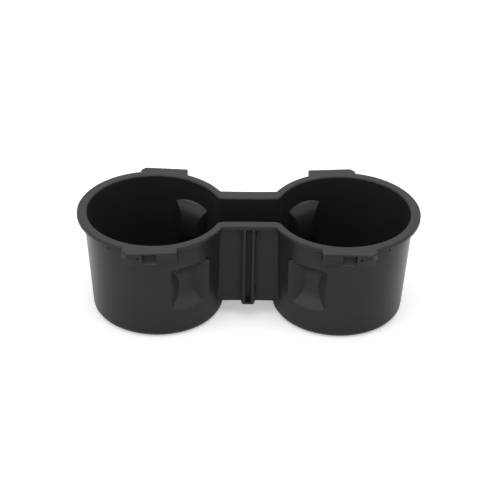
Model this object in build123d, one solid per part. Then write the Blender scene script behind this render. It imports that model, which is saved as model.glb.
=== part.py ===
"""Twin cup holder insert for a car console, moulded in one piece.

The length runs along X, the front panel faces -Y and the cups open towards +Z.
The origin is the middle of the foot plane, halfway between the two cups.
All lengths are in millimetres and all angles in degrees.
"""
import math
import os

from build123d import *

# Cups
BORE_RADIUS = 40.2
HEIGHT = 65.6
WALL = 2.0
FLOOR = 2.4
DRAFT_ANGLE = 2.4
CUP_LEAN = 1.75
BASE_ROUND = 4.6
INNER_BEVEL = 1.8
FOOT_CREASE = 12.0

# Rim flange; its ring is set a little away from the neck
FLANGE_WIDTH = 3.4
FLANGE_SHIFT = 0.6
FLANGE_THICK = 2.2
RIM_BEVEL = 0.5
BORE_BEVEL = 0.6

# Neck trough between the cups
NECK_GAP = 28.2
NECK_WIDTH = 26.0
NECK_BOW_RADIUS = 400.0
NECK_LIP_FRONT = 4.2
NECK_LIP_BACK = 6.6
NECK_FOOT = 10.7
OUTER_CORNER = 2.2
INNER_CORNER = 4.5

# Rim lugs: how far they stand out of the flange, and where they end beside the cup axis
LUG_PROUD_OUTER = 4.5
LUG_PROUD_INNER = 2.6
FRONT_LUG_OUT = 17.1
FRONT_LUG_IN = 14.6
BACK_LUG_OUT = 10.0
BACK_LUG_IN = 19.0
LUG_CHAMFER = 2.8
LUG_CORNER = 1.0
WEB_DROP = 16.5
WEB_CREASE = 14.0

# Pocket under each front lug
POCKET_WIDTH = 8.2
POCKET_OFFSET = 1.3
POCKET_ROOF = 0.9
POCKET_HEIGHT = 10.2
POCKET_SILL_SLOPE = 45.0
POCKET_BITE = 0.35

# Pin marks below the rim, one on the wall and one on the lug's face
PIN_RADIUS = 0.55
PIN_DEPTH = 0.6
WALL_PIN_ANGLE = 127.6
WALL_PIN_DROP = 6.2
LUG_PIN_OFFSET = 8.0
LUG_PIN_DROP = 3.2

# Grip dimples
GRIP_ANGLE = 60.2
GRIP_LEVEL = 33.2
BACK_GRIP_ANGLE = 56.0
BACK_GRIP_LEVEL = 35.1
GRIP_DEPTH = 6.0
GRIP_FLOOR_WIDTH = 8.7
GRIP_SHIFT = 0.9
GRIP_FLARE_OUT = 60.0
GRIP_FLARE_IN = 51.0
GRIP_ARC = 22.5
PAD_WIDTH = 3.2
PAD_TALL = 26.2
PAD_RISE = 2.4

# Rail on the neck panels
RAIL_BASE_WIDTH = 9.0
RAIL_FACE_WIDTH = 6.7
RAIL_PROUD = 4.4
RAIL_GROOVE_WIDTH = 3.7
RAIL_GROOVE_FLOOR = 2.8
RAIL_GROOVE_DEPTH = 3.4
RAIL_GROOVE_FOOT = 1.2
RAIL_ROUND = 0.3

TOP_RADIUS = BORE_RADIUS + WALL
CUP_X = NECK_GAP / 2 + TOP_RADIUS
DRAFT = math.tan(math.radians(DRAFT_ANGLE))
TILT = math.degrees(math.atan2(CUP_LEAN, HEIGHT))
NECK_HALF = NECK_WIDTH / 2
PANEL_HALF = NECK_HALF + WALL
NECK_REACH = CUP_X - TOP_RADIUS / 2


def wall_radius(level):
    """Outer radius of a cup at a height above the foot plane."""
    return TOP_RADIUS - DRAFT * (HEIGHT - level)


def cup_axis(level):
    """X of the left cup's axis at a height; the axis leans away from the neck."""
    return -CUP_X + CUP_LEAN * (HEIGHT - level) / HEIGHT


def both_cups(shape):
    """The shape of the left cup together with its mirror image for the right cup."""
    return [shape, mirror(shape, about=Plane.YZ)]


def front_and_back(front, back):
    """A front shape of the left cup and a shape to be turned to its back, with both mirror images."""
    return both_cups(front) + both_cups(mirror(back, about=Plane.XZ))


def leaning_cone(low, high, inset):
    """Left cup's wall cone between two heights, set in by a wall thickness."""
    spare = TOP_RADIUS / 4
    length = (HEIGHT + 2 * spare) / math.cos(math.radians(TILT))
    cone = Cone(wall_radius(-spare) - inset, wall_radius(HEIGHT + spare) - inset, length)
    slab = Box(3 * TOP_RADIUS, 3 * TOP_RADIUS, high - low)
    place = Pos(cup_axis(HEIGHT / 2), 0, HEIGHT / 2) * Rot(0, -TILT, 0)
    return (place * cone) & (Pos(-CUP_X, 0, (low + high) / 2) * slab)


def foot_envelope(edge):
    """Turned form round the left cup's axis that opens out above an edge from the floor to the wall."""
    low = edge[0][1]
    high = edge[-1][1]
    wide = 2 * TOP_RADIUS
    outline = [(0, low), *edge, (wide, high), (wide, 2 * HEIGHT), (0, 2 * HEIGHT)]
    turned = revolve(Plane.XZ * make_face(Polyline(*outline, close=True)), Axis.Z)
    return Pos(cup_axis(high), 0, 0) * Rot(0, 0, 90) * turned


def base_round():
    """Points of a quarter round from the foot plane, which crosses the wall at a shallow crease."""
    side = wall_radius(BASE_ROUND) + BASE_ROUND * (1 - math.cos(math.radians(FOOT_CREASE)))
    points = []
    for turn in (0, 22.5, 45, 67.5, 90):
        angle = math.radians(turn)
        points.append((side - BASE_ROUND * (1 - math.sin(angle)), BASE_ROUND * (1 - math.cos(angle))))
    return points


def inner_bevel():
    """Points of the sloped edge between the floor and the wall inside a cup."""
    flat = wall_radius(FLOOR) - WALL - INNER_BEVEL
    return [(flat, FLOOR), (flat + 2 * INNER_BEVEL, FLOOR + 2 * INNER_BEVEL)]


def neck_outline(front, back):
    """Plan of the neck with its two long sides bowed towards the middle."""
    bow = NECK_BOW_RADIUS - math.sqrt(NECK_BOW_RADIUS ** 2 - NECK_REACH ** 2)
    near = -front - bow
    far = back + bow
    sides = [
        ThreePointArc((-NECK_REACH, near), (0, -front), (NECK_REACH, near)),
        Line((NECK_REACH, near), (NECK_REACH, far)),
        ThreePointArc((NECK_REACH, far), (0, back), (-NECK_REACH, far)),
        Line((-NECK_REACH, far), (-NECK_REACH, near)),
    ]
    return make_face(sides)


def neck_corners(form):
    """The four upright edges where the neck meets the cups."""
    tall = (HEIGHT - NECK_FOOT) / 2
    upright = [edge for edge in form.edges() if edge.bounding_box().size.Z > tall]
    return [edge for edge in upright if abs(edge.center().Y) > NECK_HALF / 2]


def lug_edge(side):
    """Y of the flange's edge in line with the cup axis, at the front (-1) or the back (1)."""
    return side * (TOP_RADIUS + FLANGE_WIDTH)


def lug_outline(end_out, end_in, side):
    """Plan of one lug of the left cup; side is -1 at the front and 1 at the back."""
    root = side * BORE_RADIUS * math.cos(math.asin(max(end_out, end_in) / BORE_RADIUS))
    outer = lug_edge(side) + side * LUG_PROUD_OUTER
    inner = lug_edge(side) + side * LUG_PROUD_INNER
    points = [
        (-end_out, root),
        (-end_out, outer - side * LUG_CHAMFER),
        (-end_out + LUG_CHAMFER, outer),
        (end_in, inner),
        (end_in, root),
    ]
    return make_face(Polyline(*[(x - CUP_X, y) for x, y in points], close=True))


def lug_web(end_out, end_in, side):
    """Hollow-curved web under one lug of the left cup, turned about the cup and cut to the lug's plan."""
    low = HEIGHT - WEB_DROP
    inner = wall_radius(low) - WALL / 2
    outer = math.hypot(max(end_out, end_in), lug_edge(1) + LUG_PROUD_OUTER)
    under = HEIGHT - FLANGE_THICK
    crease = math.radians(WEB_CREASE)
    across = outer - inner
    tall = under - low
    radius = (across ** 2 + tall ** 2) / (2 * (across * math.cos(crease) - tall * math.sin(crease)))
    centre = (inner + radius * math.cos(crease), low - radius * math.sin(crease))
    middle = ((inner + outer) / 2 - centre[0], (low + under) / 2 - centre[1])
    reach = radius / math.hypot(*middle)
    bend = (centre[0] + middle[0] * reach, centre[1] + middle[1] * reach)
    top = HEIGHT - FLANGE_THICK / 2
    outline = [
        Line((inner, low), bend),
        Line(bend, (outer, under)),
        Line((outer, under), (outer, top)),
        Line((outer, top), (inner, top)),
        Line((inner, top), (inner, low)),
    ]
    ring = Pos(-CUP_X, 0, 0) * revolve(Plane.XZ * make_face(outline), Axis.Z)
    return ring & extrude(lug_outline(end_out, end_in, side), amount=HEIGHT)


def lug_pocket():
    """Cutter for the pocket under the left front lug, with a sill that slopes outwards."""
    sill = HEIGHT - POCKET_HEIGHT
    roof = HEIGHT - POCKET_ROOF
    back = POCKET_BITE - wall_radius(sill)
    front = back - 2 * (FLANGE_WIDTH + LUG_PROUD_OUTER)
    drop = (back - front) * math.tan(math.radians(POCKET_SILL_SLOPE))
    profile = Polyline((back, roof), (front, roof), (front, sill - drop), (back, sill), close=True)
    cutter = extrude(make_face(Plane.YZ * profile), amount=POCKET_WIDTH / 2, both=True)
    return Pos(-POCKET_OFFSET - CUP_X, 0, 0) * cutter


def wall_pin():
    """Cutter for the shallow round mark on the front of the left cup's wall."""
    level = HEIGHT - WALL_PIN_DROP
    drill = Cylinder(PIN_RADIUS, 2 * PIN_DEPTH, rotation=(0, 90, 0))
    place = Pos(cup_axis(level), 0, level) * Rot(0, 0, -WALL_PIN_ANGLE)
    return place * Pos(wall_radius(level), 0, 0) * drill


def lug_pin():
    """Cutter for the shallow round mark on the face under the left front lug."""
    run = FRONT_LUG_IN + FRONT_LUG_OUT - LUG_CHAMFER
    along = (FRONT_LUG_IN + LUG_PIN_OFFSET) / run
    proud = LUG_PROUD_INNER + (LUG_PROUD_OUTER - LUG_PROUD_INNER) * along
    drill = Cylinder(PIN_RADIUS, 2 * PIN_DEPTH, rotation=(90, 0, 0))
    return Pos(-CUP_X - LUG_PIN_OFFSET, lug_edge(-1) - proud, HEIGHT - LUG_PIN_DROP) * drill


def grip_tool(angle, level, grow):
    """Hourglass tool of a front dimple of the left cup, grown evenly by a wall thickness."""
    floor = wall_radius(level) - GRIP_DEPTH
    half = GRIP_FLOOR_WIDTH / 2
    rise = 2 * GRIP_DEPTH
    spread_out = rise * math.tan(math.radians(GRIP_FLARE_OUT))
    spread_in = rise * math.tan(math.radians(GRIP_FLARE_IN))
    corners = [
        (floor, GRIP_SHIFT - half),
        (floor, GRIP_SHIFT + half),
        (floor + rise, GRIP_SHIFT + half + spread_in),
        (floor + rise, GRIP_SHIFT - half - spread_out),
    ]
    plan = make_face(Polyline(*corners, close=True))
    if grow > 0:
        plan = offset(plan, amount=grow, kind=Kind.INTERSECTION)
    wedge = extrude(plan, amount=HEIGHT)
    barrel = Cylinder(GRIP_ARC + grow, 4 * TOP_RADIUS, rotation=(90, 0, 0))
    tool = wedge & (Pos(floor + GRIP_ARC, 0, level) * barrel)
    return Pos(cup_axis(level), 0, 0) * Rot(0, 0, -angle) * tool


def grip_pad(angle, level):
    """Narrow flat beside a front dimple, starting where its neck flank leaves the wall."""
    radius = wall_radius(level)
    floor = radius - GRIP_DEPTH
    start = GRIP_SHIFT + GRIP_FLOOR_WIDTH / 2
    flare = math.radians(GRIP_FLARE_IN)
    along = floor * math.cos(flare) + start * math.sin(flare)
    run = math.sqrt(along ** 2 + radius ** 2 - floor ** 2 - start ** 2) - along
    across = start + run * math.sin(flare)
    out = floor + run * math.cos(flare)
    turn = math.radians(angle)
    edge_x = out * math.cos(turn) + across * math.sin(turn)
    face_y = across * math.cos(turn) - out * math.sin(turn)
    size = (PAD_WIDTH + 2 * WALL, -face_y / 2, PAD_TALL)
    block = Box(*size, align=(Align.MIN, Align.MIN, Align.CENTER))
    return Pos(cup_axis(level) + edge_x - 2 * WALL, face_y, level + PAD_RISE) * block


def rail():
    """Grooved rail down the middle of the front panel."""
    front = -PANEL_HALF - RAIL_PROUD
    base = RAIL_BASE_WIDTH / 2
    tip = RAIL_FACE_WIDTH / 2
    slot = RAIL_GROOVE_WIDTH / 2
    bed = RAIL_GROOVE_FLOOR / 2
    deep = front + RAIL_GROOVE_DEPTH
    body = make_face(
        Polyline((-base, -NECK_HALF), (-base, -PANEL_HALF), (-tip, front), (tip, front),
                 (base, -PANEL_HALF), (base, -NECK_HALF), close=True)
    )
    groove = make_face(Polyline((-slot, front), (slot, front), (bed, deep), (-bed, deep), close=True))
    solid = Pos(0, 0, NECK_FOOT) * extrude(body, amount=HEIGHT - FLANGE_THICK / 2 - NECK_FOOT)
    solid -= Pos(0, 0, NECK_FOOT + RAIL_GROOVE_FOOT) * extrude(groove, amount=HEIGHT)
    ridges = solid.edges().filter_by(Axis.Z).group_by(Axis.Y)[0]
    return fillet(ridges, RAIL_ROUND)


def outer_form():
    """Cups and neck as one solid, without the flange and the cavity."""
    top = HEIGHT - FLANGE_THICK / 2
    cup = leaning_cone(0, top, 0) & foot_envelope(base_round())
    form = Pos(0, 0, NECK_FOOT) * extrude(neck_outline(PANEL_HALF, PANEL_HALF), amount=top - NECK_FOOT)
    for piece in both_cups(cup):
        form += piece
    return fillet(neck_corners(form), OUTER_CORNER)


def cavity():
    """Hollow of both cups and the trough between them, reaching out of the mouth."""
    top = HEIGHT + FLANGE_THICK
    foot = NECK_FOOT + FLOOR
    bore = leaning_cone(FLOOR, top, WALL) & foot_envelope(inner_bevel())
    hollow = Pos(0, 0, foot) * extrude(neck_outline(NECK_HALF, NECK_HALF), amount=top - foot)
    for piece in both_cups(bore):
        hollow += piece
    return fillet(neck_corners(hollow), INNER_CORNER)


def mouth():
    """Cutter that bevels the rim all round the opening."""
    edge = NECK_HALF + BORE_BEVEL
    plan = neck_outline(edge, edge)
    for piece in both_cups(Pos(-CUP_X, 0) * Circle(BORE_RADIUS + BORE_BEVEL)):
        plan += piece
    plan = fillet(plan.vertices(), INNER_CORNER)
    return Pos(0, 0, HEIGHT) * extrude(plan, amount=2 * BORE_BEVEL, dir=(0, 0, -1), taper=45)


def flange():
    """Flat rim plate with its lugs and a bevelled top edge."""
    ring = Pos(-CUP_X - FLANGE_SHIFT, 0) * Circle(TOP_RADIUS + FLANGE_WIDTH)
    front = lug_outline(FRONT_LUG_OUT, FRONT_LUG_IN, -1)
    back = lug_outline(BACK_LUG_OUT, BACK_LUG_IN, 1)
    plan = neck_outline(PANEL_HALF + NECK_LIP_FRONT, PANEL_HALF + NECK_LIP_BACK)
    for piece in both_cups(ring) + both_cups(front) + both_cups(back):
        plan += piece
    plan = fillet(plan.vertices(), LUG_CORNER)
    plate = Pos(0, 0, HEIGHT - FLANGE_THICK) * extrude(plan, amount=FLANGE_THICK)
    top = plate.faces().sort_by(Axis.Z)[-1]
    return chamfer(top.outer_wire().edges(), RIM_BEVEL)


def build():
    """The whole moulding."""
    skin = outer_form()
    form = skin
    for pad in front_and_back(grip_pad(GRIP_ANGLE, GRIP_LEVEL), grip_pad(BACK_GRIP_ANGLE, BACK_GRIP_LEVEL)):
        form += pad
    for web in both_cups(lug_web(FRONT_LUG_OUT, FRONT_LUG_IN, -1)):
        form += web
    for web in both_cups(lug_web(BACK_LUG_OUT, BACK_LUG_IN, 1)):
        form += web
    form += flange()
    form += rail()
    form += mirror(rail(), about=Plane.XZ)
    hollow = cavity()
    front_bulge = grip_tool(GRIP_ANGLE, GRIP_LEVEL, WALL)
    back_bulge = grip_tool(BACK_GRIP_ANGLE, BACK_GRIP_LEVEL, WALL)
    for bulge in front_and_back(front_bulge, back_bulge):
        hollow -= bulge & skin
    form -= hollow
    form -= mouth()
    front_dimple = grip_tool(GRIP_ANGLE, GRIP_LEVEL, 0)
    back_dimple = grip_tool(BACK_GRIP_ANGLE, BACK_GRIP_LEVEL, 0)
    for dimple in front_and_back(front_dimple, back_dimple):
        form -= dimple
    for pocket in both_cups(lug_pocket()):
        form -= pocket
    for mark in both_cups(wall_pin()) + both_cups(lug_pin()):
        form -= mark
    return form


insert = build()
insert.label = "cup_insert"
os.makedirs("parts", exist_ok=True)
export_step(insert, "parts/cup_insert.step")
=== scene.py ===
"""Looks of a twin cup holder insert: moulded plastic, studio stage, lamps and camera."""
import logging
import math
from dataclasses import dataclass, field
from enum import Enum
from typing import Any, Union

import bmesh
import bpy
from mathutils import Matrix, Vector


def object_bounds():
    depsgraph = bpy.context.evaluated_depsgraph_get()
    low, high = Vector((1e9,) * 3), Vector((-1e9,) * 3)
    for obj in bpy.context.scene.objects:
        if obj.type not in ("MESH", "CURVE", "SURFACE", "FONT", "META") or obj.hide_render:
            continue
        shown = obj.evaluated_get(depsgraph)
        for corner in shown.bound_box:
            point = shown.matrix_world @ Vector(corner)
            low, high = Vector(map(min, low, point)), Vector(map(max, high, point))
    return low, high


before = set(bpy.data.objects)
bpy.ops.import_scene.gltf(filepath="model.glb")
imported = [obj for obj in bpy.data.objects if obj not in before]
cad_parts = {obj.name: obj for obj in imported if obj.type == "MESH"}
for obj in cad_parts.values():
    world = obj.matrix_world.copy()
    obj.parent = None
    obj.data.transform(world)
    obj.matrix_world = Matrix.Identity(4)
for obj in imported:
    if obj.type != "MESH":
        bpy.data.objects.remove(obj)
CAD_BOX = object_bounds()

LOG = logging.getLogger("cup_insert")
INSERT_NODE = "cup_insert"
PHOTO_PIXELS = 500
MILLIMETRE = 0.001
NODE_SAMPLES = 8
CAMERA_RAY = "Is Camera Ray"
BACKGROUND_RAYS = (CAMERA_RAY, "Is Glossy Ray", "Is Transmission Ray")

Number = Union[int, float]
Colour = tuple[float, float, float]
Point = tuple[float, float, float]
Span = tuple[float, float]

WHITE: Colour = (1.0, 1.0, 1.0)


class Axis(Enum):
    """Axes of the object, by the name of a vector's part; its two halves mirror each other across."""

    ACROSS = "X"
    DEPTH = "Y"
    UP = "Z"


class Direction(Enum):
    """Where a lamp stands around the object, as a vector from its middle."""

    ABOVE = (0.0, -0.1, 1.0)
    FRONT_LEFT = (-1.0, -0.6, 0.45)
    FRONT_RIGHT = (1.0, -0.6, 0.45)
    BEHIND = (0.0, 1.0, 0.65)


def opaque(colour: Colour) -> tuple[float, float, float, float]:
    """Adds full opacity to a colour, as a node's socket takes it."""
    return (*colour, 1.0)


class Term:
    """A shader value that adds Math nodes when Python maths is done on it."""

    def __init__(self, graph: "ShaderGraph", socket: bpy.types.NodeSocket) -> None:
        """Wraps an output socket of a graph."""
        self.graph = graph
        self.socket = socket

    def _math(self, operation: str, first: Any, second: Any) -> "Term":
        """Adds one Math node.

        Args:
            operation: The Math node's operation.
            first: First value, a term or a number.
            second: Second value, a term or a number.

        Returns:
            The node's output as a term.
        """
        return self.graph.term("ShaderNodeMath", {"operation": operation}, {0: first, 1: second})

    def __add__(self, other: Any) -> "Term":
        """Sum with a term or a number."""
        return self._math("ADD", self, other)

    def __radd__(self, other: Number) -> "Term":
        """Sum with a number on the left."""
        return self._math("ADD", other, self)

    def __sub__(self, other: Any) -> "Term":
        """Difference from a term or a number."""
        return self._math("SUBTRACT", self, other)

    def __rsub__(self, other: Number) -> "Term":
        """A number less this term."""
        return self._math("SUBTRACT", other, self)

    def __mul__(self, other: Any) -> "Term":
        """Product with a term or a number."""
        return self._math("MULTIPLY", self, other)

    def __rmul__(self, other: Number) -> "Term":
        """Product with a number on the left."""
        return self._math("MULTIPLY", other, self)

    def maximum(self, other: Any) -> "Term":
        """The larger of this term and another value."""
        return self._math("MAXIMUM", self, other)

    def unsigned(self) -> "Term":
        """This term without its sign."""
        return self.maximum(0.0 - self)


class ShaderGraph:
    """A node tree that is filled by one node method and by maths on terms."""

    def __init__(self, tree: bpy.types.NodeTree) -> None:
        """Empties a node tree and takes it over."""
        self.tree = tree
        tree.nodes.clear()

    def node(self, kind: str, settings: dict[str, Any] | None = None,
             inputs: dict[Any, Any] | None = None) -> bpy.types.Node:
        """Adds one node, with its settings set before its sockets.

        Args:
            kind: The node's type name.
            settings: Properties of the node.
            inputs: Values, sockets or terms by the name or place of the input.

        Returns:
            The new node.
        """
        made = self.tree.nodes.new(kind)
        for name, value in (settings or {}).items():
            setattr(made, name, value)
        for name, value in (inputs or {}).items():
            socket = made.inputs[name]
            if isinstance(value, Term):
                self.tree.links.new(value.socket, socket)
            elif isinstance(value, bpy.types.NodeSocket):
                self.tree.links.new(value, socket)
            else:
                socket.default_value = value
        return made

    def term(self, kind: str, settings: dict[str, Any] | None = None,
             inputs: dict[Any, Any] | None = None, output: Any = 0) -> Term:
        """Adds one node and gives one of its outputs.

        Args:
            kind: The node's type name.
            settings: Properties of the node.
            inputs: Values, sockets or terms by input.
            output: Name or place of the output.

        Returns:
            The output as a term.
        """
        return Term(self, self.node(kind, settings, inputs).outputs[output])

    def along(self, vector: Term, axis: Axis) -> Term:
        """Takes a vector's part along an axis, without its sign where the object mirrors itself.

        Args:
            vector: The vector.
            axis: The axis.

        Returns:
            The part as a term.
        """
        part = self.term("ShaderNodeSeparateXYZ", None, {0: vector}, output=axis.value)
        if axis is Axis.ACROSS:
            return part.unsigned()
        return part

    def rise(self, value: Term, span: Span) -> Term:
        """Adds a smooth rise from 0 to 1.

        Args:
            value: The value that the rise follows.
            span: Where the rise starts and ends; the start may be the larger.

        Returns:
            The rise.
        """
        return self.term("ShaderNodeMapRange", {"interpolation_type": "SMOOTHSTEP"},
                         {"Value": value, "From Min": span[0], "From Max": span[1]})

    def tint(self, share: Term, base: Any, colour: Colour) -> Term:
        """Blends a colour over a base by the colour sockets of a Mix node.

        Args:
            share: How much of the colour shows, from 0 to 1.
            base: The base, a term or an opaque colour.
            colour: The colour.

        Returns:
            The blend.
        """
        return self.term("ShaderNodeMix", {"data_type": "RGBA"},
                         {0: share, 6: base, 7: opaque(colour)}, output=2)

    def mix(self, share: Term, first: bpy.types.Node, second: bpy.types.Node) -> bpy.types.Node:
        """Mixes two shaders.

        Args:
            share: Share of the second shader.
            first: The first shader.
            second: The second shader.

        Returns:
            The mixed shader.
        """
        return self.node("ShaderNodeMixShader", None,
                         {0: share, 1: first.outputs[0], 2: second.outputs[0]})

    def show(self, kind: str, shader: bpy.types.Node) -> None:
        """Ends the graph with an output node of a kind that shows a shader."""
        self.node(kind, None, {"Surface": shader.outputs[0]})


@dataclass(frozen=True)
class Noise:
    """Soft noise in metres, drawn out upwards where it has a length, and the roughness that it adds."""

    size: float
    detail: float
    rough: float
    length: float = 0.0
    fade: float = 0.58

    def term(self, graph: ShaderGraph, place: Term) -> Term:
        """Adds the noise.

        Args:
            graph: The material's graph.
            place: The point that the noise is read at.

        Returns:
            The noise, from 0 to 1.
        """
        if self.length:
            stretch = (1.0, 1.0, self.size / self.length)
            place = graph.term("ShaderNodeVectorMath", {"operation": "MULTIPLY"}, {0: place, 1: stretch})
        return graph.term("ShaderNodeTexNoise", None,
                          {"Vector": place, "Scale": 1 / self.size, "Detail": self.detail,
                           "Roughness": self.fade})


@dataclass(frozen=True)
class Faces:
    """Faces that are picked along one axis, by the way they look and the place they lie at."""

    axis: Axis
    look: Span
    places: tuple[Span, ...]

    def mask(self, graph: ShaderGraph, place: Term, normal: Term) -> Term:
        """Finds the faces.

        Args:
            graph: The material's graph.
            place: The point on the surface.
            normal: The way that the surface looks.

        Returns:
            1 on the faces and 0 on the rest.
        """
        found = graph.rise(graph.along(normal, self.axis), self.look)
        level = graph.along(place, self.axis)
        for span in self.places:
            found = found * graph.rise(level, span)
        return found


@dataclass(frozen=True)
class MouldedPlastic:
    """Semi-matte black plastic with the fine grain of an eroded mould, with painted shade in hollows,
    under the lugs and in the pin marks, and painted light on the pocket sills and the rail's flanks;
    lengths are in metres.
    """

    name: str = "moulded_plastic"
    colour: Colour = (0.0146, 0.0146, 0.0151)
    faded: Colour = (0.0202, 0.0202, 0.0208)
    roughness: float = 0.26
    gloss: float = 0.25
    cloud: Noise = Noise(size=0.035, detail=3.0, rough=0.05)
    grain: Noise = Noise(size=0.00042, detail=2.0, rough=0.06)
    drag: Noise = Noise(size=0.0028, detail=2.0, rough=0.05, length=0.045)
    grain_height: float = 0.000022
    grain_strength: float = 0.55

    edge_colour: Colour = (0.030, 0.030, 0.031)
    edge_radius: float = 0.0007
    edge_gain: float = 5.0
    edge_share: float = 0.6
    edge_polish: float = 0.05

    # Painted shade: a dark matte shader that is mixed in over narrow hollows, the lugs' undersides and
    # the pin marks.
    painted_shade_colour: Colour = (0.004, 0.004, 0.004)
    painted_shade_roughness: float = 0.8
    painted_shade_gloss: float = 0.0
    hollow_reach: float = 0.009
    hollow_depth: float = 0.75
    hollow_painted_shade_share: float = 0.5

    # Painted shade on the down-facing faces under the lugs.
    lug_under_painted_shade: Faces = Faces(Axis.UP, (-0.2, -0.4), ((0.050, 0.052),))
    lug_under_painted_shade_share: float = 0.25
    # Painted light: the up-facing pocket sills are made lighter.
    sill_painted_light: Faces = Faces(Axis.UP, (0.3, 0.6), ((0.062, 0.060), (0.050, 0.052)))
    sill_painted_light_colour: Colour = (0.08, 0.08, 0.08)
    # Painted light: the rail's side-facing flanks are made lighter.
    rail_flank_painted_light: Faces = Faces(Axis.ACROSS, (0.5, 0.8), ((0.010, 0.008),))
    rail_flank_painted_light_colour: Colour = (0.042, 0.042, 0.042)

    # Ejector pin marks, darkened with painted shade as a deep hole would look.
    pins: tuple[Point, ...] = ((0.0643, -0.0497, 0.0624), (0.0816, -0.0330, 0.0594))
    pin_fade: Span = (0.00088, 0.00055)
    pin_painted_shade_share: float = 0.85

    def material(self) -> bpy.types.Material:
        """Builds the material.

        Returns:
            The finished material.
        """
        made = bpy.data.materials.new(self.name)
        made.use_nodes = True
        graph = ShaderGraph(made.node_tree)
        place = graph.term("ShaderNodeTexCoord", output="Object")
        normal = graph.term("ShaderNodeNewGeometry", output="Normal")
        soft = graph.term("ShaderNodeBevel", {"samples": NODE_SAMPLES},
                          {"Radius": self.edge_radius}, output="Normal")
        edge = self._edges(graph, soft, normal)
        cloud = self.cloud.term(graph, place)
        grain = self.grain.term(graph, place)
        drag = self.drag.term(graph, place)
        sill_painted_light = self.sill_painted_light.mask(graph, place, normal)
        flank_painted_light = self.rail_flank_painted_light.mask(graph, place, normal)

        tone = graph.tint(cloud, opaque(self.colour), self.faded)
        tone = graph.tint(edge * self.edge_share, tone, self.edge_colour)
        # Painted light on the pocket sills.
        tone = graph.tint(sill_painted_light, tone, self.sill_painted_light_colour)
        # Painted light on the rail's flanks.
        tone = graph.tint(flank_painted_light, tone, self.rail_flank_painted_light_colour)
        rough = self.roughness + cloud * self.cloud.rough + grain * self.grain.rough
        rough = rough + drag * self.drag.rough - edge * self.edge_polish
        relief = graph.term("ShaderNodeBump", None,
                            {"Height": grain, "Distance": self.grain_height,
                             "Strength": self.grain_strength, "Normal": soft}, output="Normal")
        plastic = graph.node("ShaderNodeBsdfPrincipled", None,
                             {"Base Color": tone, "Roughness": rough, "Normal": relief,
                              "Specular IOR Level": self.gloss})

        # Painted shade: a dark matte shader mixed in by the hollows, the lug undersides and the pin
        # marks.
        shade = graph.node("ShaderNodeBsdfPrincipled", None,
                           {"Base Color": opaque(self.painted_shade_colour), "Roughness": self.painted_shade_roughness,
                            "Normal": relief, "Specular IOR Level": self.painted_shade_gloss})
        painted_shade_share = self._hollow_painted_shade(graph) * (1.0 - sill_painted_light) * (1.0 - flank_painted_light) * self.hollow_painted_shade_share
        painted_shade_share = painted_shade_share + self.lug_under_painted_shade.mask(graph, place, normal) * self.lug_under_painted_shade_share
        # Painted shade in the pin marks.
        for pin in self.pins:
            painted_shade_share = painted_shade_share.maximum(self._pin_painted_shade(graph, place, pin))
        graph.show("ShaderNodeOutputMaterial", graph.mix(painted_shade_share, plastic, shade))
        return made

    def _edges(self, graph: ShaderGraph, soft: Term, normal: Term) -> Term:
        """Finds the edges by how far the softened normal leaves the face's own.

        Args:
            graph: The material's graph.
            soft: The softened normal.
            normal: The face's own normal.

        Returns:
            0 on faces and up to 1 on edges.
        """
        match = graph.term("ShaderNodeVectorMath", {"operation": "DOT_PRODUCT"},
                           {0: soft, 1: normal}, output="Value")
        return graph.term("ShaderNodeMath", {"operation": "MULTIPLY", "use_clamp": True},
                          {0: 1.0 - match, 1: self.edge_gain})

    def _hollow_painted_shade(self, graph: ShaderGraph) -> Term:
        """Finds narrow hollows, such as a pocket or a groove, by how little they see outwards, for
        painted shade.

        Args:
            graph: The material's graph.

        Returns:
            0 on open faces and up to 1 in hollows, as the share of painted shade.
        """
        seen = graph.term("ShaderNodeAmbientOcclusion", {"samples": NODE_SAMPLES, "only_local": True},
                          {"Distance": self.hollow_reach}, output="AO")
        return graph.rise(seen, (1.0, 1.0 - self.hollow_depth))

    def _pin_painted_shade(self, graph: ShaderGraph, place: Term, pin: Point) -> Term:
        """Finds the sunk mark of an ejector pin on both cups, to darken it with painted shade as a deep
        hole would look.

        Args:
            graph: The material's graph.
            place: The point on the surface.
            pin: Middle of the mark on the right cup.

        Returns:
            How much painted shade the mark gets, and 0 away from it.
        """
        folded = graph.term("ShaderNodeCombineXYZ", None,
                            {axis.value: graph.along(place, axis) for axis in Axis})
        away = graph.term("ShaderNodeVectorMath", {"operation": "DISTANCE"},
                          {0: folded, 1: pin}, output="Value")
        return graph.rise(away, self.pin_fade) * self.pin_painted_shade_share


@dataclass
class CupInsert:
    """The moulding itself, which keeps its solid shape and gets its material, with painted light and
    shade, here.
    """

    plastic: MouldedPlastic = field(default_factory=MouldedPlastic)

    def dress(self) -> bpy.types.Object:
        """Gives the moulding its material, with painted light and shade.

        Returns:
            The dressed object.
        """
        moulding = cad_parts[INSERT_NODE]
        finish_and_painted_light = self.plastic.material()
        for slot in moulding.material_slots:
            slot.material = finish_and_painted_light
        return moulding


def background_rays(graph: ShaderGraph) -> Term:
    """Finds the rays that look at the background, straight or by a reflection.

    Args:
        graph: The floor's or the world's graph.

    Returns:
        1 for such rays and 0 for the rest.
    """
    path = graph.node("ShaderNodeLightPath")
    camera, glossy, through = (Term(graph, path.outputs[name]) for name in BACKGROUND_RAYS)
    return camera.maximum(glossy).maximum(through)


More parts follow.
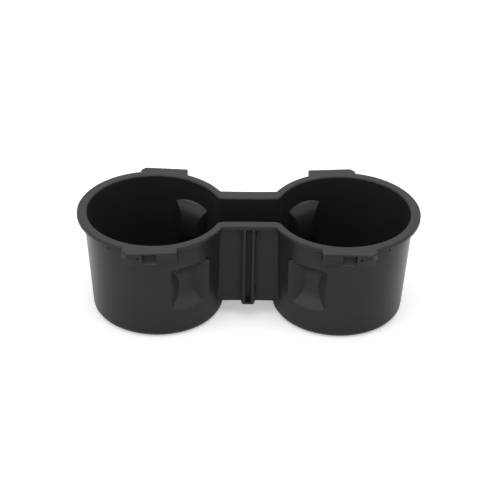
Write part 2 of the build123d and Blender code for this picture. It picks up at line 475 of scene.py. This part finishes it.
@dataclass(frozen=True)
class PaperSweep:
    """Pale studio floor that glows beside and behind the object and keeps its shadow."""

    half_width: float = 3.0
    cells: int = 4
    colour: Colour = (0.90, 0.90, 0.90)
    glow_front: float = 0.10
    glow_back: float = 0.65
    glow_seen: float = 0.4
    behind: Span = (-0.06, 0.08)
    beside: Span = (0.07, 0.12)

    def build(self) -> bpy.types.Object:
        """Builds the floor.

        Returns:
            The floor.
        """
        shape = bmesh.new()
        bmesh.ops.create_grid(shape, x_segments=self.cells, y_segments=self.cells, size=self.half_width)
        mesh = bpy.data.meshes.new("studio_floor")
        shape.to_mesh(mesh)
        shape.free()
        floor = bpy.data.objects.new("studio_floor", mesh)
        bpy.context.scene.collection.objects.link(floor)
        mesh.materials.append(self._material())
        return floor

    def _material(self) -> bpy.types.Material:
        """Builds the paper's material.

        Returns:
            A diffuse white with a glow that the camera and reflections see.
        """
        made = bpy.data.materials.new("studio_paper")
        made.use_nodes = True
        graph = ShaderGraph(made.node_tree)
        place = graph.term("ShaderNodeTexCoord", output="Object")
        camera = graph.term("ShaderNodeLightPath", output=CAMERA_RAY)
        share = graph.rise(graph.along(place, Axis.DEPTH), self.behind)
        share = share * graph.rise(graph.along(place, Axis.ACROSS), self.beside)
        level = self.glow_front + share * (self.glow_back - self.glow_front)
        paper = graph.node("ShaderNodeBsdfDiffuse", None, {"Color": opaque(self.colour)})
        glow = graph.node("ShaderNodeEmission", None,
                          {"Color": opaque(WHITE), "Strength": level.maximum(camera * self.glow_seen)})
        both = graph.node("ShaderNodeAddShader", None, {0: paper.outputs[0], 1: glow.outputs[0]})
        graph.show("ShaderNodeOutputMaterial", graph.mix(background_rays(graph), paper, both))
        return made


@dataclass(frozen=True)
class SoftBox:
    """One square area lamp that faces the object; lengths are in metres and the power in watts."""

    name: str
    direction: Direction
    distance: float
    size: float
    power: float

    def build(self, aim: Vector) -> bpy.types.Object:
        """Builds the lamp.

        Args:
            aim: The point that the lamp faces.

        Returns:
            The lamp.
        """
        data = bpy.data.lights.new(self.name, "AREA")
        data.shape = "SQUARE"
        data.size = self.size
        data.energy = self.power
        lamp = bpy.data.objects.new(self.name, data)
        bpy.context.scene.collection.objects.link(lamp)
        away = Vector(self.direction.value).normalized()
        lamp.location = aim + away * self.distance
        lamp.rotation_euler = away.to_track_quat("Z", "Y").to_euler()
        return lamp


@dataclass(frozen=True)
class Studio:
    """White surroundings, which light the object less than they show, and soft lamps."""

    sky: float = 0.45
    sky_seen: float = 1.0
    boxes: tuple[SoftBox, ...] = (
        SoftBox("lamp_above", Direction.ABOVE, distance=1.1, size=1.2, power=8.0),
        SoftBox("lamp_front_left", Direction.FRONT_LEFT, distance=1.2, size=0.8, power=3.2),
        SoftBox("lamp_front_right", Direction.FRONT_RIGHT, distance=1.2, size=0.8, power=1.9),
        SoftBox("lamp_behind", Direction.BEHIND, distance=1.3, size=1.6, power=1.5),
    )

    def build(self, aim: Vector) -> None:
        """Builds the world and the lamps.

        Args:
            aim: The point that the lamps face.
        """
        world = bpy.data.worlds.new("studio_world")
        world.use_nodes = True
        graph = ShaderGraph(world.node_tree)
        strength = self.sky + background_rays(graph) * (self.sky_seen - self.sky)
        light = graph.node("ShaderNodeBackground", None, {"Color": opaque(WHITE), "Strength": strength})
        graph.show("ShaderNodeOutputWorld", light)
        bpy.context.scene.world = world
        for box in self.boxes:
            box.build(aim)


@dataclass(frozen=True)
class PhotoCamera:
    """Long lens a little above the object; lengths are in millimetres and angles in degrees."""

    target: Point = (1.04, 0.0, 37.2)
    distance: float = 1026.0
    elevation: float = 32.643
    turn: float = -1.2
    roll: float = 1.05
    focal_pixels: float = 1696.2
    sensor: float = 36.0
    clip: Span = (10.0, 50000.0)

    def build(self) -> bpy.types.Object:
        """Builds the camera and makes it the scene's own.

        Returns:
            The camera.
        """
        data = bpy.data.cameras.new("photo_camera")
        data.sensor_width = self.sensor
        data.lens = self.focal_pixels * self.sensor / PHOTO_PIXELS
        data.clip_start, data.clip_end = (end * MILLIMETRE for end in self.clip)
        camera = bpy.data.objects.new("photo_camera", data)
        bpy.context.scene.collection.objects.link(camera)
        camera.matrix_world = self._place()
        bpy.context.scene.camera = camera
        return camera

    def _place(self) -> Matrix:
        """Works out where the camera stands and how it is turned.

        Returns:
            The camera's matrix.
        """
        rise = math.radians(self.elevation)
        turn = math.radians(self.turn)
        roll = math.radians(self.roll)
        back = Vector((math.sin(turn) * math.cos(rise), -math.cos(turn) * math.cos(rise), math.sin(rise)))
        right = Vector((0.0, 0.0, 1.0)).cross(back).normalized()
        up = back.cross(right)
        rolled_right = right * math.cos(roll) + up * math.sin(roll)
        rolled_up = up * math.cos(roll) - right * math.sin(roll)
        stand = Vector(self.target) * MILLIMETRE + back * (self.distance * MILLIMETRE)
        return Matrix.Translation(stand) @ Matrix((rolled_right, rolled_up, back)).transposed().to_4x4()


def main() -> None:
    """Builds the looks in order and reports each piece."""
    logging.basicConfig(level=logging.INFO, format="%(name)s: %(message)s")
    bpy.context.scene.view_settings.view_transform = "Standard"
    moulding = CupInsert().dress()
    LOG.info("dressed %s", moulding.name)
    floor = PaperSweep().build()
    LOG.info("laid %s", floor.name)
    low, high = (Vector(corner) for corner in CAD_BOX)
    Studio().build((low + high) / 2)
    LOG.info("lit the studio")
    camera = PhotoCamera().build()
    LOG.info("placed %s", camera.name)


if __name__ == "__main__":
    main()
